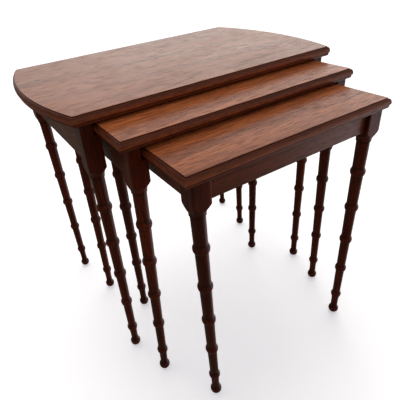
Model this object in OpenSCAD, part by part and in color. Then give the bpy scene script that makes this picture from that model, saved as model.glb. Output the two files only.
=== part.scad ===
// Nest of three tables with turned, bamboo-pattern legs.
// The large table has bowed ends. The medium table slides out of it, and the
// small table slides out of the medium one. All three stand on the floor.
// Origin: on the floor, under the middle of the nest. +X is along the tops and
// -Y is the side that the two smaller tables are pulled out of.

/* [Tops] */
// Height of the large table
large_h = 537.5; // [534:0.5:560]
// How much lower each next table stands
nest_step = 20.5; // [19:0.5:22.5]
// Thickness of each top
top_t = 17.5; // [16:0.5:18]
// Length of the large top along its straight front edge
large_len = 520; // [516:1:530]
// How far each end of the large top bows out
bow_rise = 28.5; // [15:0.5:45]
// Length of the medium top
medium_len = 453; // [440:1:453]
// Length of the small top
small_len = 384; // [370:1:388]
// Reach of the large top past its leg centres, front and back
large_over = 19.5; // [16:0.5:30]
// Reach of the two smaller tops past their front leg centres
front_over = 15; // [13:0.5:18]
// Reach of the two smaller tops past their rear leg centres
rear_over = 11; // [10:0.5:14]

/* [Frames] */
// Large table, leg centres along X
large_leg_w = 476; // [474:1:482]
// Large table, leg centres along Y
large_leg_d = 317; // [310:1:340]
// Medium table, leg centres along X
medium_leg_w = 411; // [405:1:411]
// Medium table, leg centres along Y
medium_leg_d = 284; // [275:1:290]
// Small table, leg centres along X
small_leg_w = 340; // [330:1:345]
// Small table, leg centres along Y
small_leg_d = 280; // [270:1:284]
// Height of the lower edge of every rail
rail_z = 444.5; // [438:0.5:448]
// Thickness of the side and front rails
rail_t = 13; // [11:0.5:13]
// How far the side and front rails sit back from the faces of the leg blocks
rail_set = 7.5; // [6:0.5:8]

/* [Legs] */
// Side of the square block at the head of each leg
block = 30; // [28:1:30]
// Height of the lowest bamboo ring
ring_z = 56.5; // [52:0.5:60]
// Distance between rings
ring_step = 77; // [72:1:78]
// How far a ring stands out from the shaft
ring_h = 2.65; // [1.5:0.05:3]
// Outward lean of the medium table's legs, in degrees
medium_splay = 1.2; // [0:0.1:1.3]
// Inward lean of the small table's front left leg, in degrees
small_lean = 1.5; // [0:0.1:2]

/* [Position] */
// How far the medium table is pulled out of the large one
medium_pull = 103; // [10:1:200]
// How far the small table is pulled out of the medium one
small_pull = 90.5; // [10:0.5:200]

/* [Hidden] */
$fn = 96;
LARGE = 0;
MEDIUM = 1;
SMALL = 2;
TABLES = ["large", "medium", "small"];

// Edge moulding, measured outwards and down from the arris of the top
veneer_t = 0.7;
backing_t = 0.6;
lip_w = 10;
nose = 5;
quirk_w = 0.9;
quirk_h = 1.6;
ovolo_h = 7.4;
nose_in = 0.8;
nose_h = 2.6;
step_in = 0.7;
roll_in = 2;
roll_h = top_t - quirk_h - ovolo_h - nose_h;

// Rear rails, runners and the grooves that they form
rear_t = 12;
rear_set = block / 2 - rear_t;
runner_w = [8.5, 8, 0];
runner_h = 10;
slide_gap = 0.5;
notch_play = 0.2;

// Turned part of the leg
shoulder_z = 424.5;
shoulder_top = 446.5;
shoulder_r = 12.4;
shaft_top_r = 11.1;
shaft_low_r = 7.65;
ring_up = 9;
ring_down = 7;
neck_r = 7;
neck_z = [19, 37.5];
foot_r = 10.4;
foot_z = 9.6;

// Dowels and screws
dowel_d = 8;
dowel_in_leg = 11;
dowel_in_rail = 13;
dowel_rise = [10, 25];
fit = 0.1;
screw_d = 3.8;
screw_hold = 11;
screw_seat = 22;
head_d = 7.8;
head_h = 2.4;
bore_d = 9;
screw_inset = 55;

// The three tables side by side: index LARGE, MEDIUM or SMALL
top_z = [for (t = [0:2]) large_h - t * nest_step];
under_z = [for (z = top_z) z - top_t];
half_w = [large_len, medium_len, small_len] / 2;
leg_x = [large_leg_w, medium_leg_w, small_leg_w] / 2;
leg_d = [large_leg_d, medium_leg_d, small_leg_d];
reach_front = [large_over, front_over, front_over];
reach_rear = [large_over, rear_over, rear_over];

// Distance from one table's rear legs to the next table's when they are nested
stop_in = rear_over + nose + slide_gap;
rear_rel = [0, -stop_in - medium_pull, -2 * stop_in - medium_pull - small_pull];
nest_front = rear_rel[SMALL] - small_leg_d - front_over - nose;
nest_back = large_over + nose;
nest_mid = (nest_front + nest_back) / 2;

rear_y = [for (y = rear_rel) y - nest_mid];
front_y = [for (t = [0:2]) rear_y[t] - leg_d[t]];
edge_front = [for (t = [0:2]) front_y[t] - reach_front[t]];
edge_rear = [for (t = [0:2]) rear_y[t] + reach_rear[t]];
half_d = (edge_rear - edge_front) / 2;
mid_y = (edge_rear + edge_front) / 2;

// Bowed ends of the large top: one arc through both corners
bow_r = (half_d[LARGE] * half_d[LARGE] + bow_rise * bow_rise) / (2 * bow_rise);
bow_x = bow_r - half_w[LARGE] - bow_rise;

// Side rails
rail_out = [for (x = leg_x) x + block / 2 - rail_set];
rail_in = [for (x = rail_out) x - rail_t];
runner_top = [for (t = [0:1]) under_z[t + 1] - slide_gap];

// ---- tops ----

// Moulding from the top of the lipping down to the underside: quirk, ovolo,
// rounded nose, small step, and a roll that turns in to the underside
function moulding() = concat(
    [[0, -veneer_t], [0, -quirk_h]],
    [for (a = [0:15:90])
        [quirk_w + (nose - quirk_w) * sin(a), -quirk_h - ovolo_h * (1 - cos(a))]],
    [for (a = [30:30:90])
        [nose - nose_in * (1 - cos(a)), -quirk_h - ovolo_h - nose_h * sin(a)]],
    [for (a = [0:15:90])
        [nose - nose_in - step_in - roll_in * (1 - cos(a)), -top_t + roll_h * (1 - sin(a))]]
);

// Cross-section of a top whose surface is 2 * d across
function slab_section(d) = concat(
    [for (p = moulding()) [d + p.x, p.y]],
    [for (i = [len(moulding()) - 1:-1:0]) [-d - moulding()[i].x, moulding()[i].y]]
);

// Where the outlines that lie o outside the surface meet, at a front left corner
function corner(t, o) =
    let (y = -half_d[t] - o)
    [t == LARGE ? bow_x - sqrt(pow(bow_r + o, 2) - y * y) : -half_w[t] - o, y];

module outline(t, o) {
    if (t == LARGE) {
        intersection() {
            translate([bow_x, 0]) circle(bow_r + o, $fn = 720);
            translate([-bow_x, 0]) circle(bow_r + o, $fn = 720);
            square([4 * half_w[t], 2 * (half_d[t] + o)], center = true);
        }
    } else {
        square(2 * [half_w[t] + o, half_d[t] + o], center = true);
    }
}

module on_top(t) {
    translate([0, mid_y[t], top_z[t]]) children();
}

// The whole top as if it were one moulded slab, without its face veneer
module moulded_slab(t) {
    intersection() {
        rotate([90, 0, 90])
            linear_extrude(3 * half_w[t], center = true)
                polygon(slab_section(half_d[t]));
        if (t == LARGE) {
            intersection() {
                moulded_disc(bow_x);
                moulded_disc(-bow_x);
            }
        } else {
            rotate([90, 0, 0])
                linear_extrude(3 * half_d[t], center = true)
                    polygon(slab_section(half_w[t]));
        }
    }
}

module moulded_disc(x) {
    rim = [for (p = moulding()) [bow_r + p.x, p.y]];
    translate([x, 0, 0])
        rotate_extrude($fn = 720)
            polygon(concat([[0, -veneer_t]], rim, [[0, -top_t]]));
}

// Plan of the piece of wood that makes one edge, mitred at both of its ends
module front_plan(t) {
    out = mitre(t, 30);
    in = mitre(t, -lip_w - 3);
    polygon([out, in, [-in.x, in.y], [-out.x, out.y]]);
}

module left_plan(t) {
    out = mitre(t, 30);
    in = mitre(t, -lip_w - 3);
    far = -2 * half_w[t];
    polygon([out, in, [in.x, -in.y], [out.x, -out.y], [far, -out.y], [far, out.y]]);
}

// A point on the mitre line through the outer and the inner corner
function mitre(t, o) =
    let (a = corner(t, -lip_w), b = corner(t, nose))
    a + (b - a) * (o + lip_w) / (nose + lip_w);

module lipping(t, side) {
    color("#6b3a2c")
    difference() {
        on_top(t)
            intersection() {
                moulded_slab(t);
                translate([0, 0, -top_t - 1])
                    linear_extrude(top_t + 2) {
                        if (side == "front") front_plan(t);
                        if (side == "rear") mirror([0, 1]) front_plan(t);
                        if (side == "left") left_plan(t);
                        if (side == "right") mirror([1, 0]) left_plan(t);
                    }
            }
        on_top(t)
            translate([0, 0, -top_t - 1])
                linear_extrude(top_t + 2)
                    outline(t, -lip_w);
        each_screw(t) pilot(t);
    }
}

module face_veneer(t) {
    color("#a5714f")
    on_top(t)
        translate([0, 0, -veneer_t])
            linear_extrude(veneer_t)
                outline(t, 0);
}

module core_board(t) {
    color("#c9a77c")
    difference() {
        on_top(t)
            translate([0, 0, -top_t + backing_t])
                linear_extrude(top_t - backing_t - veneer_t)
                    outline(t, -lip_w);
        each_screw(t) pilot(t);
    }
}

module backing_veneer(t) {
    color("#8a5a3c")
    difference() {
        on_top(t)
            translate([0, 0, -top_t])
                linear_extrude(backing_t)
                    outline(t, -lip_w);
        each_screw(t) pilot(t);
    }
}

// ---- legs ----

function ring_zs() = [for (i = [0:4]) ring_z + i * ring_step];

function shaft_r(z) = shaft_low_r
    + (shaft_top_r - shaft_low_r) * (z - ring_z) / (shoulder_z - ring_z);

// One bamboo ring: round and crisp below, a softer swell above
function ring(z0) = concat(
    [for (a = [0:15:90])
        let (z = z0 - ring_down * cos(a))
        [shaft_r(z) + ring_h * sin(a), z]],
    [for (u = [1:7])
        let (z = z0 + ring_up * u / 7)
        [shaft_r(z) + ring_h * (1 + cos(180 * u / 7)) / 2, z]]
);

function turned_profile() = concat(
    [for (a = [-90:12:42]) [foot_r * cos(a), foot_z + foot_r * sin(a)]],
    [for (z = neck_z) [neck_r, z]],
    [for (z0 = ring_zs(), p = ring(z0)) p],
    [[shaft_top_r, shoulder_z], [shaft_top_r, shoulder_z + 3], [0, shoulder_z + 3]]
);

// Ogee that takes the square block down to the round shaft
function shoulder_profile(top) = concat(
    [[0, shoulder_z]],
    [for (i = [0:10])
        let (u = pow(i / 10, 1.3), wide = 0.72 * block)
        [shoulder_r + (wide - shoulder_r) * (1 - cos(180 * u)) / 2,
            shoulder_z + (shoulder_top - shoulder_z) * i / 10]],
    [[0.72 * block, top], [0, top]]
);

// Turn of a leg about its shoulder, in degrees
function leg_turn(t, sx, sy) =
    t == MEDIUM ? -sx * medium_splay :
    t == SMALL && sx < 0 && sy < 0 ? -small_lean : 0;

module leg(t, sx, sy) {
    y = sy < 0 ? front_y[t] : rear_y[t];
    color("#3a1712")
    difference() {
        translate([sx * leg_x[t], y, 0]) {
            intersection() {
                translate([-block / 2, -block / 2, shoulder_z])
                    cube([block, block, under_z[t] - shoulder_z]);
                rotate_extrude()
                    polygon(shoulder_profile(under_z[t] + 1));
            }
            translate([0, 0, shoulder_z])
                rotate([0, leg_turn(t, sx, sy), 0])
                    translate([0, 0, -shoulder_z])
                        rotate_extrude()
                            polygon(turned_profile());
        }
        // flat that stands on the floor
        translate([sx * leg_x[t] - block, y - block, -5])
            cube([2 * block, 2 * block, 5]);
        if (t < SMALL) side_notch(t, sx, sy, y);
        each_dowel(t) drill();
    }
}

// Notch in the inner side of a block, where the next top slides past. In a rear
// leg it ends in line with the rear rail, which stops that top.
module side_notch(t, sx, sy, y) {
    wide = block - rail_set - rail_t + notch_play + 1;
    y1 = sy < 0 ? y + block : rear_rail_y(t);
    translate([sx * (leg_x[t] - block / 2 - 1) - (sx < 0 ? wide : 0), y - block, runner_top[t]])
        cube([wide, y1 - y + block, top_t + block]);
}

// ---- rails ----

module side_rail(t, sx) {
    y0 = front_y[t] + block / 2;
    y1 = rear_y[t] - block / 2;
    color("#4a2119")
    difference() {
        translate([sx > 0 ? rail_in[t] : -rail_out[t], y0, rail_z])
            cube([rail_t, y1 - y0, under_z[t] - rail_z]);
        each_dowel(t) drill();
        each_screw(t) counterbore(t);
    }
}

module cross_rail(t, y0, thick) {
    x1 = leg_x[t] - block / 2;
    color("#4a2119")
    difference() {
        translate([-x1, y0, rail_z])
            cube([2 * x1, thick, under_z[t] - rail_z]);
        each_dowel(t) drill();
        each_screw(t) counterbore(t);
    }
}

function rear_rail_y(t) = rear_y[t] + block / 2 - rear_set - rear_t;
function front_rail_y(t) = front_y[t] - block / 2 + rail_set;

// Strip that carries the edge of the next top, glued inside the side rail
module runner(t, sx) {
    y0 = front_y[t] + block / 2;
    y1 = rear_y[t] - block / 2;
    color("#8c6a48")
    translate([sx > 0 ? rail_in[t] - runner_w[t] : -rail_in[t], y0, runner_top[t] - runner_h])
        cube([runner_w[t], y1 - y0, runner_h]);
}

// ---- fastenings ----

// Children lie along +X from the joint face: the leg is at x < 0
module each_dowel(t) {
    side_x = (rail_out[t] + rail_in[t]) / 2;
    for (rise = dowel_rise, sx = [-1, 1]) {
        translate([sx * side_x, front_y[t] + block / 2, rail_z + rise])
            rotate([0, 0, 90]) children();
        translate([sx * side_x, rear_y[t] - block / 2, rail_z + rise])
            rotate([0, 0, -90]) children();
        translate([sx * (leg_x[t] - block / 2), rear_rail_y(t) + rear_t / 2, rail_z + rise])
            rotate([0, 0, sx < 0 ? 0 : 180]) children();
        if (t == SMALL)
            translate([sx * (leg_x[t] - block / 2), front_rail_y(t) + rail_t / 2, rail_z + rise])
                rotate([0, 0, sx < 0 ? 0 : 180]) children();
    }
}

module dowel() {
    translate([-dowel_in_leg, 0, 0])
        rotate([0, 90, 0])
            cylinder(h = dowel_in_leg + dowel_in_rail, d = dowel_d);
}

module drill() {
    translate([-dowel_in_leg - 1, 0, 0])
        rotate([0, 90, 0])
            cylinder(h = dowel_in_leg + dowel_in_rail + 2, d = dowel_d + 2 * fit);
}

module dowels(t) {
    color("#d9c09a") each_dowel(t) dowel();
}

// Children stand on z = 0 at the place of each screw
module each_screw(t) {
    side_x = (rail_out[t] + rail_in[t]) / 2;
    for (sx = [-1, 1]) {
        for (y = [front_y[t] + screw_inset, rear_y[t] - screw_inset])
            translate([sx * side_x, y, 0]) children();
        translate([sx * (leg_x[t] - screw_inset), rear_rail_y(t) + rear_t / 2, 0]) children();
        if (t == SMALL)
            translate([sx * (leg_x[t] - screw_inset), front_rail_y(t) + rail_t / 2, 0])
                children();
    }
}

// Pan-head screw from a counterbore in the rail up into the core board
module screw(t) {
    seat = under_z[t] - screw_seat;
    difference() {
        union() {
            translate([0, 0, seat - head_h])
                cylinder(h = head_h, d = head_d);
            translate([0, 0, seat])
                cylinder(h = screw_seat + screw_hold, d = screw_d);
        }
        translate([0, 0, seat - head_h])
            cube([head_d + 1, 1.1, 2.2], center = true);
    }
}

module counterbore(t) {
    seat = under_z[t] - screw_seat;
    translate([0, 0, seat - 1])
        cylinder(h = screw_seat + 2, d = screw_d + 2 * fit);
    translate([0, 0, rail_z - 1])
        cylinder(h = seat - rail_z + 1, d = bore_d);
}

// Pilot hole in the underside of a top
module pilot(t) {
    translate([0, 0, under_z[t] - 1])
        cylinder(h = screw_hold + 2, d = screw_d + 2 * fit);
}

module screws(t) {
    color("#9a9a96") each_screw(t) screw(t);
}

// ---- the nest ----

for (t = [0:2]) {
    name = TABLES[t];
    core_board(t);
    face_veneer(t);
    backing_veneer(t);
    for (side = ["front", "rear", "left", "right"])
        lipping(t, side);
    leg(t, -1, -1);
    leg(t, 1, -1);
    leg(t, -1, 1);
    leg(t, 1, 1);
    side_rail(t, -1);
    side_rail(t, 1);
    cross_rail(t, rear_rail_y(t), rear_t);
    dowels(t);
    screws(t);
}
cross_rail(SMALL, front_rail_y(SMALL), rail_t);  // small_rail_front
for (t = [LARGE, MEDIUM]) {
    runner(t, -1);
    runner(t, 1);
}
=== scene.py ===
# Nest of three mahogany side tables with turned, bamboo-pattern legs. The large table has bowed
# ends, and the medium and small tables slide out from under it on their own legs.
from math import asin, cos, pi, radians, sin, sqrt

import bmesh
import bpy
from mathutils import Matrix, Vector


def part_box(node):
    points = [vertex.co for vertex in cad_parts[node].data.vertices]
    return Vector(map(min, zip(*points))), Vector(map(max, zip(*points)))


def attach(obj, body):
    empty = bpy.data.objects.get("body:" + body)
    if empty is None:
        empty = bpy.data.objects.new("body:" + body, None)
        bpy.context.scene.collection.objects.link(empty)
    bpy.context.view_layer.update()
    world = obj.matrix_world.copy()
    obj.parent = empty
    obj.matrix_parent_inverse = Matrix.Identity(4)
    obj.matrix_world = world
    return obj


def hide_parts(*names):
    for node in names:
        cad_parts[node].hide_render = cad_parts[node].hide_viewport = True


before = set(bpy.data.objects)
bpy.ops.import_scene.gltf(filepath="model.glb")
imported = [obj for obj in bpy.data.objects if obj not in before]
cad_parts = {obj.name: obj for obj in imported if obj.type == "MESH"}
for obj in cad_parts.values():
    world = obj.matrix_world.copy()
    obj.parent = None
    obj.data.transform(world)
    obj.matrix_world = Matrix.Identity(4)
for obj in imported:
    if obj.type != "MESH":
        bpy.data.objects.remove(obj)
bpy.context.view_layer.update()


# ---- Core boards ----
# Each top is built on a particle board, pressed from pine chips and sawn to shape. Veneers and
# lippings seal it in on all sides, so it shows only inside the screw holes.
TABLES = ("large", "medium", "small")
MM = 0.001
flake = 3 * MM


def linear(hex_colour):
    """A colour given as sRGB hex, in the linear light that shaders work in."""
    parts = [int(hex_colour[i : i + 2], 16) / 255 for i in (1, 3, 5)]
    return [p / 12.92 if p <= 0.04045 else ((p + 0.055) / 1.055) ** 2.4 for p in parts] + [1.0]


def add(tree, kind, inputs=(), out=None, **settings):
    """Adds a node with its settings, fills or links its inputs, and returns one of its outputs:
    the one named, or else the first."""
    made = tree.nodes.new(kind)
    for name, value in settings.items():
        setattr(made, name, value)
    sockets = [s for s in made.inputs if s.enabled]
    named = inputs.items() if isinstance(inputs, dict) else enumerate(inputs)
    for key, value in named:
        if isinstance(key, int):
            socket = sockets[key]
        else:
            socket = next(s for s in sockets if s.name == key)
        if isinstance(value, bpy.types.NodeSocket):
            tree.links.new(value, socket)
        elif value is not None:
            socket.default_value = value
    outputs = [s for s in made.outputs if s.enabled]
    return next((s for s in outputs if s.name == out), outputs[0] if outputs else None)


def new_material(name):
    """An empty material and its node tree."""
    material = bpy.data.materials.new(name)
    material.use_nodes = True
    material.node_tree.nodes.clear()
    return material, material.node_tree


def dress(piece, material):
    """Gives a piece that one material."""
    piece.data.materials.clear()
    piece.data.materials.append(material)


def particle_board():
    """Pressed pine chips: matt, pale and speckled, with every flake a little different."""
    material, tree = new_material("particle board")
    place = add(tree, "ShaderNodeTexCoord", out="Object")
    chips = add(tree, "ShaderNodeTexVoronoi", {"Vector": place, "Scale": 1 / flake}, out="Color")
    tone = add(tree, "ShaderNodeSeparateXYZ", [chips])
    shades = [tone, linear("#8F6F4B"), linear("#D2B68C")]
    colour = add(tree, "ShaderNodeMix", shades, data_type="RGBA")
    relief = add(tree, "ShaderNodeBump", {"Height": tone, "Strength": 0.4, "Distance": 0.2 * MM})
    shader = add(
        tree,
        "ShaderNodeBsdfPrincipled",
        {"Base Color": colour, "Roughness": 0.85, "IOR": 1.45, "Normal": relief},
    )
    add(tree, "ShaderNodeOutputMaterial", [shader])
    return material


board = particle_board()
for table in TABLES:
    dress(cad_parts[f"{table}_core"], board)


# ---- Veneers ----
# Straight-grained mahogany, sliced 0.7 mm thick and laid along the length of each top. The face
# is filled, stained and polished to a satin sheen. The underside has a plainer, raw leaf.


def mahogany(
    name,
    pale,
    dark,
    pore,
    streak=4 * MM,
    roughness=0.36,
    gloss=0.2,
    coat=0.05,
    grain="X",
    glaze_shade_colour=None,
    wear_highlight_colour=None,
):
    """Wood under a polish. Grain is the axis that it runs along, or UV where it follows the piece.
    Broad bands and dark streaks give the figure, and short open pores catch the stain. On turned
    and moulded wood, one more colour is painted into the hollows and creases, partly old polish and
    partly painted shade, and another onto the arrises, partly rubbed wear and partly painted
    highlight."""
    material, tree = new_material(name)
    if grain == "UV":
        place = add(tree, "ShaderNodeTexCoord", out="UV")
    else:
        turn = {"X": (0, 0, 0), "Y": (0, 0, -pi / 2), "Z": (0, pi / 2, 0)}[grain]
        place = add(tree, "ShaderNodeTexCoord", out="Object")
        place = add(tree, "ShaderNodeMapping", {"Vector": place, "Rotation": turn})

    def figure(width, length, detail):
        """Noise drawn out along the grain, with marks of about that width and length."""
        size = (1 / length, 1 / width, 1 / width)
        drawn = add(tree, "ShaderNodeMapping", {"Vector": place, "Scale": size})
        return add(tree, "ShaderNodeTexNoise", {"Vector": drawn, "Scale": 1.0, "Detail": detail})

    bands = figure(34 * MM, 700 * MM, 2.0)
    streaks = figure(streak, 120 * MM, 2.0)
    # fibres and pores are 0.1 to 0.2 mm wide, and are drawn about ten times coarser to show
    fibres = figure(1.1 * MM, 35 * MM, 2.0)
    pores = figure(1.8 * MM, 24 * MM, 1.0)
    tone = add(tree, "ShaderNodeMath", [bands, 1.0, -0.5], operation="MULTIPLY_ADD")
    tone = add(tree, "ShaderNodeMath", [streaks, 0.8, tone], operation="MULTIPLY_ADD")
    tone = add(tree, "ShaderNodeMath", [fibres, 0.8, tone], operation="MULTIPLY_ADD")
    tone = add(tree, "ShaderNodeMapRange", [tone, 0.55, 1.0, 0.0, 1.0])
    open_pore = add(tree, "ShaderNodeMapRange", [pores, 0.5, 0.68, 0.0, 1.0])
    colour = add(tree, "ShaderNodeMix", [tone, linear(dark), linear(pale)], data_type="RGBA")
    stain = add(tree, "ShaderNodeMath", [open_pore, 0.7], operation="MULTIPLY")
    colour = add(tree, "ShaderNodeMix", [stain, colour, linear(pore)], data_type="RGBA")
    # Painted shade and painted highlight: two mesh attributes lay a dark colour in the hollows and
    # a light one on the arrises, partly standing for old polish and rubbed wear.
    if glaze_shade_colour:
        smear = figure(6 * MM, 12 * MM, 4.0)
        smear = add(tree, "ShaderNodeMapRange", [smear, 0.35, 0.65, 0.3, 1.0])
        glaze_and_shade = add(tree, "ShaderNodeAttribute", out="Fac", attribute_name="glaze_and_shade")
        arris = add(tree, "ShaderNodeAttribute", out="Fac", attribute_name="arris")
        rubbed_and_lit = add(tree, "ShaderNodeMath", [arris, smear], operation="MULTIPLY")
        colour = add(tree, "ShaderNodeMix", [glaze_and_shade, colour, linear(glaze_shade_colour)], data_type="RGBA")
        colour = add(tree, "ShaderNodeMix", [rubbed_and_lit, colour, linear(wear_highlight_colour)], data_type="RGBA")
    cloud = figure(90 * MM, 90 * MM, 3.0)
    sheen = add(tree, "ShaderNodeMath", [cloud, 0.14, roughness - 0.07], operation="MULTIPLY_ADD")
    sheen = add(tree, "ShaderNodeMath", [open_pore, 0.15, sheen], operation="MULTIPLY_ADD")
    depth = add(tree, "ShaderNodeMath", [open_pore, -1.0, fibres], operation="MULTIPLY_ADD")
    relief = add(tree, "ShaderNodeBump", {"Height": depth, "Strength": 0.35, "Distance": 0.06 * MM})
    shader = add(
        tree,
        "ShaderNodeBsdfPrincipled",
        {
            "Base Color": colour,
            "Roughness": sheen,
            "IOR": 1.5,
            "Specular IOR Level": gloss,
            "Coat Weight": coat,
            "Coat Roughness": 0.25,
            "Normal": relief,
        },
    )
    add(tree, "ShaderNodeOutputMaterial", [shader])
    return material


# Face leaf: a satin sheen over warm brown with fine dark flecks. The large top has the plainer
# leaf, and the two smaller tops a livelier, more orange one.
leaf_colours = {
    "large": ("#A65F3D", "#82472C", "#54291A"),
    "medium": ("#BC6C3E", "#804326", "#4A2110"),
    "small": ("#BC6C3E", "#804326", "#4A2110"),
}

# Backing leaf: never polished, so dry, dull and paler.
back_leaf = mahogany(
    "mahogany backing veneer, raw",
    pale="#9A7050",
    dark="#7A5138",
    pore="#4A3020",
    roughness=0.7,
    coat=0.0,
)
for table in TABLES:
    pale, dark, pore = leaf_colours[table]
    face_leaf = mahogany(
        f"mahogany veneer, satin polish, {table} top", pale, dark, pore, roughness=0.27, gloss=0.34
    )
    dress(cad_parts[f"{table}_veneer"], face_leaf)
    dress(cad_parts[f"{table}_backing_veneer"], back_leaf)


# ---- Lippings ----
# Solid mahogany, glued round the board and mitred at the corners, then run through a spindle
# moulder: a quirk under the surface, an ovolo with a rounded nose, a small step and a roll. The
# ends of the large top are sawn to a bow.
lip_width = 10 * MM
veneer_thick = 0.7 * MM
top_thick = 17.5 * MM
bow_rise = 28.5 * MM
nose = 5 * MM
quirk_width = 0.9 * MM
quirk_depth = 1.6 * MM
ovolo_depth = 7.4 * MM
nose_in = 0.8 * MM
nose_depth = 2.6 * MM
step_in = 0.7 * MM
roll_in = 2 * MM
bow_stations = 48
straight_stations = 8
# how far apart two pieces lie in the grain, so that no two look alike
grain_shift = 1.3


def moulding():
    """The moulded edge, from the surface down: how far out, how far down, how much painted shade
    (with some old wax) and how much painted highlight (with some rubbed wear).
    """
    quarter = [i * pi / 24 for i in range(13)]
    # The surface edge takes a painted highlight, and the quirk painted shade with some old wax.
    points = [(0, veneer_thick, 0.1, 0.3), (0, quirk_depth, 1, 0)]
    for a in quarter:
        out = quirk_width + (nose - quirk_width) * sin(a)
        down = quirk_depth + ovolo_depth * (1 - cos(a))
        # The ovolo takes painted shade over most of its sweep, and a painted highlight as it turns
        # out to the nose.
        points.append((out, down, max(1 - 3 * a, 0.7 * cos(a)), 0.5 * sin(a) ** 6))
    nose_low = quirk_depth + ovolo_depth
    for a in quarter[1:]:
        out = nose - nose_in * (1 - cos(a))
        # The nose is painted lighter, partly rubbed wear and partly a painted highlight.
        points.append((out, nose_low + nose_depth * sin(a), 0, 0.8 * cos(a) ** 0.5))
    step_low = nose_low + nose_depth
    roll_out = nose - nose_in - step_in
    # Painted shade, partly old wax, fills the step and fades down the roll to a little under it.
    points.append((roll_out, step_low, 1, 0))
    for a in quarter[1:]:
        out = roll_out - roll_in * (1 - cos(a))
        down = step_low + (top_thick - step_low) * sin(a)
        points.append((out, down, max(0.2, 1 - 2 * a), 0))
    return points


def edge_point(table, side, out, along):
    """A point out past the edge of a top's surface. Along runs from -1 to 1 down the side."""
    low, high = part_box(f"{table}_veneer")
    half_x, half_y = (high.x - low.x) / 2, (high.y - low.y) / 2
    depth = half_y + out
    width = half_x + out
    if table == "large":
        bow_radius = (half_y**2 + bow_rise**2) / (2 * bow_rise) + out
        centre = bow_radius - width
        turn = asin(depth / bow_radius)
        corner = bow_radius * cos(turn) - centre
        x = bow_radius * cos(turn * along) - centre
        y = bow_radius * sin(turn * along)
    else:
        corner = width
        x = width
        y = depth * along
    if side in ("front", "rear"):
        x = corner * along
        y = depth
    x = -x if side == "left" else x
    y = -y if side == "front" else y
    return Vector((x, y + (high.y + low.y) / 2, high.z))


def lipping(table, side, number):
    """One moulded lipping, with its grain coordinates in metres along and round the piece."""
    section = [(-lip_width, top_thick, 0, 0), (-lip_width, veneer_thick, 0, 0)] + moulding()
    bowed = table == "large" and side in ("left", "right")
    stations = bow_stations if bowed else straight_stations
    mesh = bpy.data.meshes.new(f"{table}_lipping_{side}_moulded")
    work = bmesh.new()
    # Per point of the section: painted shade (partly old wax) and painted highlight (partly rubbed
    # wear).
    glaze_and_shade = work.verts.layers.float.new("glaze_and_shade")
    arris = work.verts.layers.float.new("arris")
    grain = work.loops.layers.uv.new("grain")
    girth = [0.0]
    for a, b in zip(section, section[1:]):
        girth.append(girth[-1] + sqrt((a[0] - b[0]) ** 2 + (a[1] - b[1]) ** 2))
    rows = []
    for i in range(stations + 1):
        along = 2 * i / stations - 1
        row = []
        for out, down, dark, rub_highlight in section:
            vertex = work.verts.new(edge_point(table, side, out, along) - Vector((0, 0, down)))
            vertex[glaze_and_shade] = dark
            vertex[arris] = rub_highlight
            row.append(vertex)
        rows.append(row)
    offset = grain_shift * number
    for i in range(stations):
        for j in range(len(section)):
            k = (j + 1) % len(section)
            face = work.faces.new((rows[i][j], rows[i + 1][j], rows[i + 1][k], rows[i][k]))
            face.smooth = True
            far = girth[k] if k else girth[-1] + lip_width
            for loop, v in zip(face.loops, (girth[j], girth[j], far, far)):
                span = loop.vert.co.y if side in ("left", "right") else loop.vert.co.x
                loop[grain].uv = (span + offset, v)
    for row in (rows[0], rows[-1]):
        face = work.faces.new(row)
        for loop in face.loops:
            loop[grain].uv = (loop.vert.co.x + offset, loop.vert.co.y)
    bmesh.ops.recalc_face_normals(work, faces=work.faces)
    work.to_mesh(mesh)
    work.free()
    mesh.set_sharp_from_angle(angle=radians(32))
    piece = bpy.data.objects.new(mesh.name, mesh)
    bpy.context.scene.collection.objects.link(piece)
    return piece


# Moulding: darker than the leaf. Painted shade, partly old wax, darkens the quirk, the ovolo and
# the step, and a painted highlight, partly rubbed wear, lightens the nose.
moulded = mahogany(
    "mahogany moulding, polished",
    pale="#8E4227",
    dark="#64301A",
    pore="#3A180C",
    streak=3 * MM,
    roughness=0.34,
    coat=0.1,
    grain="UV",
    # The next two colours are painted shade (partly old wax) and painted highlight (partly rubbed
    # wear).
    glaze_shade_colour="#3A190E",
    wear_highlight_colour="#B0653E",
)
sides = ("front", "rear", "left", "right")
for number, table in enumerate(TABLES):
    for place, side in enumerate(sides):
        piece = lipping(table, side, len(sides) * number + place)
        dress(piece, moulded)
        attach(piece, f"{table}_table")
        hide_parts(f"{table}_lipping_{side}")


# ---- Legs ----
# Turned from 30 mm square mahogany. The head is left square to take the rails, and an ogee
# shoulder brings it down to a tapered shaft with five bamboo rings, a neck and a ball foot.
# The tool leaves each ring round and crisp below and softer above.
shoulder_height = 424.5 * MM
shoulder_top = 446.5 * MM
shoulder_radius = 12.4 * MM
shaft_top_radius = 11.1 * MM
shaft_low_radius = 7.65 * MM
ring_count = 5
ring_first = 56.5 * MM
ring_step = 77 * MM
ring_stand = 2.65 * MM
ring_up = 9 * MM
ring_down = 7 * MM
neck_radius = 7 * MM
neck_low = 19 * MM
neck_high = 37.5 * MM
foot_radius = 10.4 * MM
foot_centre = 9.6 * MM
foot_top = radians(42)
block = 30 * MM
rail_set = 7.5 * MM
notch_play = 0.2 * MM
notch_past = 5 * MM
notch_above = 20 * MM
leg_sides = 96
medium_splay = radians(1.2)
small_lean = radians(1.5)


def shaft_radius(z):
    """The shaft tapers evenly from the shoulder to the lowest ring."""
    share = (z - ring_first) / (shoulder_height - ring_first)
    return shaft_low_radius + (shaft_top_radius - shaft_low_radius) * share


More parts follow.
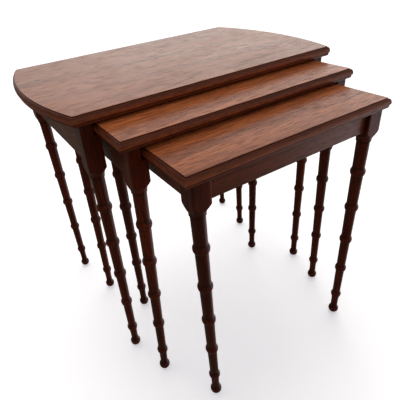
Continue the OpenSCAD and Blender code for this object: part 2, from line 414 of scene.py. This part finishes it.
def turned_profile(head):
    """The leg from floor to head: radius, height, painted shade (partly old polish) and rubbed
    wear.
    """
    points = []
    first = -asin(foot_centre / foot_radius)
    for i in range(21):
        a = first + (foot_top - first) * i / 20
        z = foot_centre + foot_radius * sin(a)
        # Painted shade at the bottom of the ball, where it meets the floor, and in the crease at
        # the neck.
        dark = max(0, 1 - i / 4) * 0.8 + max(0, i / 4 - 4) * 0.8
        points.append((foot_radius * cos(a), z, dark, 0.2 * cos(a) ** 6))
    points.append((neck_radius, neck_low, 0.6, 0))
    points.append((neck_radius, neck_high, 0, 0))
    fade = 2.5 * MM
    for i in range(ring_count):
        centre = ring_first + i * ring_step
        z = centre - ring_down - fade
        points.append((shaft_radius(z), z, 0, 0))
        for j in range(13):
            a = j * pi / 24
            z = centre - ring_down * cos(a)
            radius = shaft_radius(z) + ring_stand * sin(a)
            # Painted shade, partly old polish, in the crease at the foot of each ring.
            points.append((radius, z, 0.6 * max(0, 1 - j / 3), 0.5 * sin(a) ** 8))
        for j in range(1, 13):
            u = j / 12
            z = centre + ring_up * u
            radius = shaft_radius(z) + ring_stand * (1 + cos(pi * u)) / 2
            # Painted shade, partly old polish, in the crease where the ring runs back into the
            # shaft.
            points.append((radius, z, 0.6 * max(0, u * 2 - 1), 0.5 * (1 - u) ** 3))
        z = centre + ring_up + fade
        points.append((shaft_radius(z), z, 0, 0))
    # Painted shade in the crease under the shoulder, on both sides of it.
    points.append((shaft_top_radius, shoulder_height - 4 * MM, 0.1, 0))
    points.append((shaft_top_radius, shoulder_height - 0.1 * MM, 1, 0))
    # a little more than the half diagonal of the block, which the squaring trims
    wide = 0.72 * block
    for i in range(25):
        u = (i / 24) ** 1.3
        radius = shoulder_radius + (wide - shoulder_radius) * (1 - cos(pi * u)) / 2
        z = shoulder_height + (shoulder_top - shoulder_height) * i / 24
        points.append((radius, z, 0.6 * max(0, 1 - i / 3), 0.4 if i == 24 else 0))
    points.append((wide, shoulder_top + 2 * MM, 0, 0))
    # Painted shade darkening the head towards its top, under the top and rails.
    points.append((wide, head, 0.3, 0))
    return points


def leg_tree():
    """Spins a leg's profile round, squares off its head, leans it, and cuts the slide notch."""
    tree = bpy.data.node_groups.new("turned leg", "GeometryNodeTree")
    for name, kind in (
        ("Profile", "NodeSocketGeometry"),
        ("Place", "NodeSocketVector"),
        ("Lean", "NodeSocketFloat"),
        ("Shoulder", "NodeSocketFloat"),
        ("Block", "NodeSocketFloat"),
        ("Sides", "NodeSocketInt"),
        ("Notched", "NodeSocketBool"),
        ("Notch centre", "NodeSocketVector"),
        ("Notch size", "NodeSocketVector"),
        ("Wood", "NodeSocketMaterial"),
    ):
        tree.interface.new_socket(name, in_out="INPUT", socket_type=kind)
    tree.interface.new_socket("Leg", in_out="OUTPUT", socket_type="NodeSocketGeometry")
    given = tree.nodes.new("NodeGroupInput").outputs

    radius = add(tree, "GeometryNodeInputNamedAttribute", ["radius"], data_type="FLOAT")
    axis = add(tree, "GeometryNodeMeshToCurve", [given["Profile"]])
    round_section = add(
        tree, "GeometryNodeCurvePrimitiveCircle", [given["Sides"], 1.0], mode="RADIUS"
    )
    leg = add(tree, "GeometryNodeCurveToMesh", [axis, round_section, radius, True])

    # the head: pulled in to a square whose corners are eased by the high power
    power = 26.0
    at = add(tree, "GeometryNodeInputPosition")
    parts = add(tree, "ShaderNodeSeparateXYZ", [at]).node.outputs
    half = add(tree, "ShaderNodeMath", [given["Block"], 0.5], operation="MULTIPLY")
    raised = []
    for part in parts[:2]:
        across = add(tree, "ShaderNodeMath", [part], operation="ABSOLUTE")
        across = add(tree, "ShaderNodeMath", [across, half], operation="DIVIDE")
        raised.append(add(tree, "ShaderNodeMath", [across, power], operation="POWER"))
    total = add(tree, "ShaderNodeMath", raised, operation="ADD")
    share = add(tree, "ShaderNodeMath", [total, -1 / power], operation="POWER")
    share = add(tree, "ShaderNodeMath", [share, 1.0], operation="MINIMUM")
    keep = add(tree, "ShaderNodeCombineXYZ", [share, share, 1.0])
    squared = add(tree, "ShaderNodeVectorMath", [at, keep], operation="MULTIPLY")
    leg = add(tree, "GeometryNodeSetPosition", {"Geometry": leg, "Position": squared})

    pivot = add(tree, "ShaderNodeCombineXYZ", [0.0, 0.0, given["Shoulder"]])
    leaning = add(
        tree,
        "ShaderNodeVectorRotate",
        {"Vector": at, "Center": pivot, "Angle": given["Lean"]},
        rotation_type="Y_AXIS",
    )
    below = add(tree, "FunctionNodeCompare", [parts[2], given["Shoulder"]], operation="LESS_THAN")
    leg = add(
        tree, "GeometryNodeSetPosition", {"Geometry": leg, "Selection": below, "Position": leaning}
    )
    leg = add(tree, "GeometryNodeTransform", {"Geometry": leg, "Translation": given["Place"]})

    cutter = add(tree, "GeometryNodeMeshCube", {"Size": given["Notch size"]})
    cutter = add(
        tree, "GeometryNodeTransform", {"Geometry": cutter, "Translation": given["Notch centre"]}
    )
    cut = add(
        tree,
        "GeometryNodeMeshBoolean",
        {"Mesh 1": leg, "Mesh 2": cutter},
        operation="DIFFERENCE",
        solver="EXACT",
    )
    leg = add(tree, "GeometryNodeSwitch", [given["Notched"], leg, cut], input_type="GEOMETRY")

    leg = add(tree, "GeometryNodeSetShadeSmooth", {"Geometry": leg, "Shade Smooth": True})
    angle = add(tree, "GeometryNodeInputMeshEdgeAngle")
    crisp = add(tree, "FunctionNodeCompare", [angle, radians(38)], operation="GREATER_THAN")
    leg = add(
        tree,
        "GeometryNodeSetShadeSmooth",
        {"Geometry": leg, "Selection": crisp, "Shade Smooth": False},
        domain="EDGE",
    )
    leg = add(tree, "GeometryNodeRealizeInstances", [leg])
    leg = add(tree, "GeometryNodeSetMaterial", {"Geometry": leg, "Material": given["Wood"]})
    add(tree, "NodeGroupOutput", [leg])
    return tree


def made_by(tree, name, start, settings):
    """The plain mesh that a node tree makes from a start mesh, as an object of that name."""
    source = bpy.data.objects.new(name + "_source", start)
    bpy.context.scene.collection.objects.link(source)
    modifier = source.modifiers.new("made", "NODES")
    modifier.node_group = tree
    for item in tree.interface.items_tree:
        if item.in_out == "INPUT" and item.name in settings:
            modifier[item.identifier] = settings[item.name]
    ready = source.evaluated_get(bpy.context.evaluated_depsgraph_get())
    mesh = bpy.data.meshes.new_from_object(ready)
    mesh.name = name
    bpy.data.objects.remove(source)
    piece = bpy.data.objects.new(name, mesh)
    bpy.context.scene.collection.objects.link(piece)
    return piece


def profile_mesh(name, points):
    """A turning's profile as points up its axis, each with its radius, painted shade (partly old
    polish) and rubbed wear.
    """
    mesh = bpy.data.meshes.new(name)
    edges = [(i, i + 1) for i in range(len(points) - 1)]
    mesh.from_pydata([(0, 0, p[1]) for p in points], edges, [])
    for what, column in (("radius", 0), ("glaze_and_shade", 2), ("arris", 3)):
        layer = mesh.attributes.new(what, "FLOAT", "POINT")
        layer.data.foreach_set("value", [p[column] for p in points])
    return mesh


# Legs: the darkest, reddest wood of the nest. Painted shade, partly old polish, darkens the creases
# at every ring, the neck, the shoulder, the head and the foot by the floor, and the polish is worn
# thin on each ring's swell.
turned = mahogany(
    "turned mahogany, dark polish",
    pale="#6E2A12",
    dark="#451608",
    pore="#260C05",
    streak=3 * MM,
    roughness=0.28,
    gloss=0.22,
    coat=0.0,
    grain="Z",
    # The next two colours are painted shade (partly old polish) and rubbed wear.
    glaze_shade_colour="#1C0905",
    wear_highlight_colour="#6E2A14",
)
turning = leg_tree()
for table in TABLES:
    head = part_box(f"{table}_leg_front_left")[1].z
    profile = profile_mesh(f"{table}_leg_profile", turned_profile(head))
    for end in ("front", "rear"):
        for side in ("left", "right"):
            node = f"{table}_leg_{end}_{side}"
            out = -1 if side == "left" else 1
            lean = -out * medium_splay if table == "medium" else 0.0
            if node == "small_leg_front_left":
                lean = -small_lean
            rail_low, rail_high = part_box(f"{table}_rail_{side}")
            outer, inner = rail_high.x, rail_low.x
            if side == "left":
                outer, inner = inner, outer
            x = outer + out * rail_set - out * block / 2
            y = rail_low.y - block / 2 if end == "front" else rail_high.y + block / 2
            settings = {
                "Place": (x, y, 0.0),
                "Lean": lean,
                "Shoulder": shoulder_height,
                "Block": block,
                "Sides": leg_sides,
                "Wood": turned,
            }
            if table != "small":
                runner_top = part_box(f"{table}_runner_{side}")[1].z
                start = x - out * (block / 2 + notch_past)
                reach = inner + out * notch_play
                y_low = y - block
                y_high = y + block if end == "front" else y
                settings["Notched"] = True
                settings["Notch centre"] = (
                    (start + reach) / 2,
                    (y_low + y_high) / 2,
                    (runner_top + head + notch_above) / 2,
                )
                settings["Notch size"] = (
                    abs(reach - start),
                    y_high - y_low,
                    head + notch_above - runner_top,
                )
            piece = made_by(turning, f"{node}_turned", profile, settings)
            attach(piece, f"{table}_table")
            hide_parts(node)


# ---- Rails ----
# Mahogany, planed to 13 mm and dowelled between the leg blocks, with the edges eased by a few
# strokes of the plane. The small table has one at the front too. The grain runs lengthwise.
rail_arris = 0.6 * MM


def eased(node, width):
    """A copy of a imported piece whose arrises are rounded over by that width."""
    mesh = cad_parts[node].data.copy()
    mesh.name = f"{node}_eased"
    work = bmesh.new()
    work.from_mesh(mesh)
    bmesh.ops.remove_doubles(work, verts=work.verts, dist=0.001 * MM)
    flat = radians(1)
    bmesh.ops.dissolve_limit(work, angle_limit=flat, verts=work.verts, edges=work.edges)
    work.to_mesh(mesh)
    work.free()
    source = bpy.data.objects.new(f"{node}_source", mesh)
    bpy.context.scene.collection.objects.link(source)
    bevel = source.modifiers.new("eased arris", "BEVEL")
    bevel.width = width
    bevel.segments = 3
    bevel.limit_method = "ANGLE"
    bevel.angle_limit = radians(60)
    ready = source.evaluated_get(bpy.context.evaluated_depsgraph_get())
    finished = bpy.data.meshes.new_from_object(ready)
    finished.name = mesh.name
    bpy.data.objects.remove(source)
    finished.shade_smooth()
    finished.set_sharp_from_angle(angle=radians(35))
    piece = bpy.data.objects.new(f"{node}_eased", finished)
    bpy.context.scene.collection.objects.link(piece)
    return piece


# Rails: mid brown between the leaf and the legs, with a fuller gloss that picks up the window.
rail_woods = {
    axis: mahogany(
        f"mahogany rail, grain along {axis}",
        pale="#7E3C22",
        dark="#582714",
        pore="#30130A",
        gloss=0.5,
        grain=axis,
    )
    for axis in ("X", "Y")
}
for table in TABLES:
    for side in ("left", "right", "rear") + (("front",) if table == "small" else ()):
        piece = eased(f"{table}_rail_{side}", rail_arris)
        dress(piece, rail_woods["Y" if side in ("left", "right") else "X"])
        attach(piece, f"{table}_table")
        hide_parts(f"{table}_rail_{side}")


# ---- Runners ----
# Strips of hard beech, stained to match and rubbed with wax. They are glued inside the side
# rails of the large and medium tables, and carry the edges of the next top as it slides.
runner_arris = 0.5 * MM

# Beech: close, even grain, and a dull shine where the wax is rubbed.
runner_wood = mahogany(
    "stained beech, waxed",
    pale="#7D5638",
    dark="#634027",
    pore="#3A2416",
    streak=2 * MM,
    roughness=0.5,
    coat=0.1,
    grain="Y",
)
for table in ("large", "medium"):
    for side in ("left", "right"):
        piece = eased(f"{table}_runner_{side}", runner_arris)
        dress(piece, runner_wood)
        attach(piece, f"{table}_table")
        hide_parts(f"{table}_runner_{side}")


# ---- Dowels and screws ----
# Beech pegs join the rails to the legs, out of sight. Zinc-plated pan-head screws go up through
# counterbores in the rails and hold the tops.
haze_size = 0.8 * MM

# Raw beech: pale, dry and almost plain.
peg_wood = mahogany(
    "beech dowel, raw",
    pale="#D8BE96",
    dark="#C3A377",
    pore="#9A7B54",
    streak=1.5 * MM,
    roughness=0.65,
    coat=0.0,
)


def zinc_plate():
    """Steel screws with a thin zinc plate: pale grey, with a fine brushed haze."""
    material, tree = new_material("zinc-plated steel")
    place = add(tree, "ShaderNodeTexCoord", out="Object")
    grade = {"Vector": place, "Scale": 1 / haze_size, "Detail": 3.0}
    haze = add(tree, "ShaderNodeTexNoise", grade)
    shades = [haze, linear("#8E8E8A"), linear("#C4C4C0")]
    colour = add(tree, "ShaderNodeMix", shades, data_type="RGBA")
    rough = add(tree, "ShaderNodeMapRange", [haze, 0.3, 0.7, 0.28, 0.45])
    shader = add(
        tree,
        "ShaderNodeBsdfPrincipled",
        {"Base Color": colour, "Metallic": 1.0, "Roughness": rough},
    )
    add(tree, "ShaderNodeOutputMaterial", [shader])
    return material


zinc = zinc_plate()
for table in TABLES:
    dress(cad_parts[f"{table}_dowels"], peg_wood)
    dress(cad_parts[f"{table}_screws"], zinc)


# ---- Floor ----
# A plain pale studio floor, big enough to fill the view. It throws no light up at the wood,
# because the light from all round already has its floorboards.
floor_size = 24.0


def studio_floor():
    """Matt, off-white painted board, lifted a little so that shadows on it stay pale."""
    material, tree = new_material("studio floor, matt white paint")
    shader = add(
        tree,
        "ShaderNodeBsdfPrincipled",
        {
            "Base Color": linear("#FCFCFC"),
            "Roughness": 0.8,
            "IOR": 1.4,
            "Emission Color": linear("#F4F6FF"),
            "Emission Strength": 0.5,
        },
    )
    add(tree, "ShaderNodeOutputMaterial", [shader])
    return material


bpy.ops.mesh.primitive_plane_add(size=floor_size, location=(0, 0, 0))
floor = bpy.context.object
floor.name = "studio_floor"
dress(floor, studio_floor())
floor.visible_diffuse = False
floor.visible_glossy = False


# ---- Light ----
# A wide, low window stands to the right behind the nest and lays a pale sheen along the tops. A
# soft ceiling light, a little behind the nest, gives the rest. The left of the room is dim.
window_heading = radians(48)
window_rise = radians(12)
window_way = Vector(
    (
        sin(window_heading) * cos(window_rise),
        cos(window_heading) * cos(window_rise),
        sin(window_rise),
    )
)


def pale_room():
    """Light from all round: bright low down towards the window, dim on the left and overhead, and
    dark from below but for a pool of daylight that lies on the floorboards to the right."""
    world = bpy.data.worlds.new("pale room")
    world.use_nodes = True
    tree = world.node_tree
    tree.nodes.clear()
    way = add(tree, "ShaderNodeTexCoord", out="Generated")
    side = add(tree, "ShaderNodeSeparateXYZ", [way], out="X")
    height = add(tree, "ShaderNodeSeparateXYZ", [way], out="Z")
    facing = add(
        tree, "ShaderNodeVectorMath", [way, window_way], out="Value", operation="DOT_PRODUCT"
    )

    def ramp(value, start, end):
        return add(tree, "ShaderNodeMapRange", [value, start, end], interpolation_type="SMOOTHSTEP")

    def blend(share, first, second):
        return add(tree, "ShaderNodeMix", [share, first, second], data_type="RGBA")

    dim_wall = (0.15, 0.12, 0.1, 1)
    near_wall = (0.6, 0.56, 0.52, 1)
    window = (1.5, 1.48, 1.42, 1)
    plaster = (0.34, 0.31, 0.28, 1)
    dim_boards = (0.15, 0.12, 0.1, 1)
    sunlit_boards = (1.1, 1.0, 1.02, 1)
    walls = blend(ramp(side, -0.7, 0.2), dim_wall, near_wall)
    walls = blend(ramp(facing, 0.55, 1.0), walls, window)
    above = blend(ramp(height, 0.34, 0.55), walls, plaster)
    boards = blend(ramp(side, 0.45, 0.85), dim_boards, sunlit_boards)
    light = blend(ramp(height, -0.1, 0.12), boards, above)
    # beyond the floor, the camera sees plain white paper
    seen = add(tree, "ShaderNodeLightPath", out="Is Camera Ray")
    light = blend(seen, light, linear("#FEFEFE"))
    shader = add(tree, "ShaderNodeBackground", [light, 1.0])
    add(tree, "ShaderNodeOutputWorld", [shader])
    return world


bpy.context.scene.world = pale_room()
bpy.context.scene.view_settings.view_transform = "Standard"

ceiling = bpy.data.lights.new("ceiling light", "SUN")
ceiling.energy = 1.42
ceiling.angle = radians(60)
ceiling.color = (1.0, 0.97, 0.93)
lamp = bpy.data.objects.new("ceiling light", ceiling)
lamp.rotation_euler = (radians(-26), radians(10), 0)
lamp.visible_glossy = False
bpy.context.scene.collection.objects.link(lamp)


# ---- Camera ----
# Stands to the left of the front and above the tops, close in, with a moderately wide lens. It is
# held a little off level.
eye = Vector((-0.392, -0.619, 0.7285))
heading = radians(29.52)
dip = radians(32.68)
tilt = radians(5.52)
forward = Vector((sin(heading) * cos(dip), cos(heading) * cos(dip), -sin(dip)))
level = forward.cross(Vector((0, 0, 1))).normalized()
upright = level.cross(forward)
right = level * cos(tilt) - upright * sin(tilt)
up = right.cross(forward)
lens = bpy.data.cameras.new("camera")
lens.sensor_width = 36
lens.lens = 35.2
lens.shift_x = 0.037
lens.shift_y = -0.012
camera = bpy.data.objects.new("camera", lens)
axes = Matrix((right, up, -forward)).transposed()
camera.matrix_world = Matrix.Translation(eye) @ axes.to_4x4()
bpy.context.scene.collection.objects.link(camera)
bpy.context.scene.camera = camera
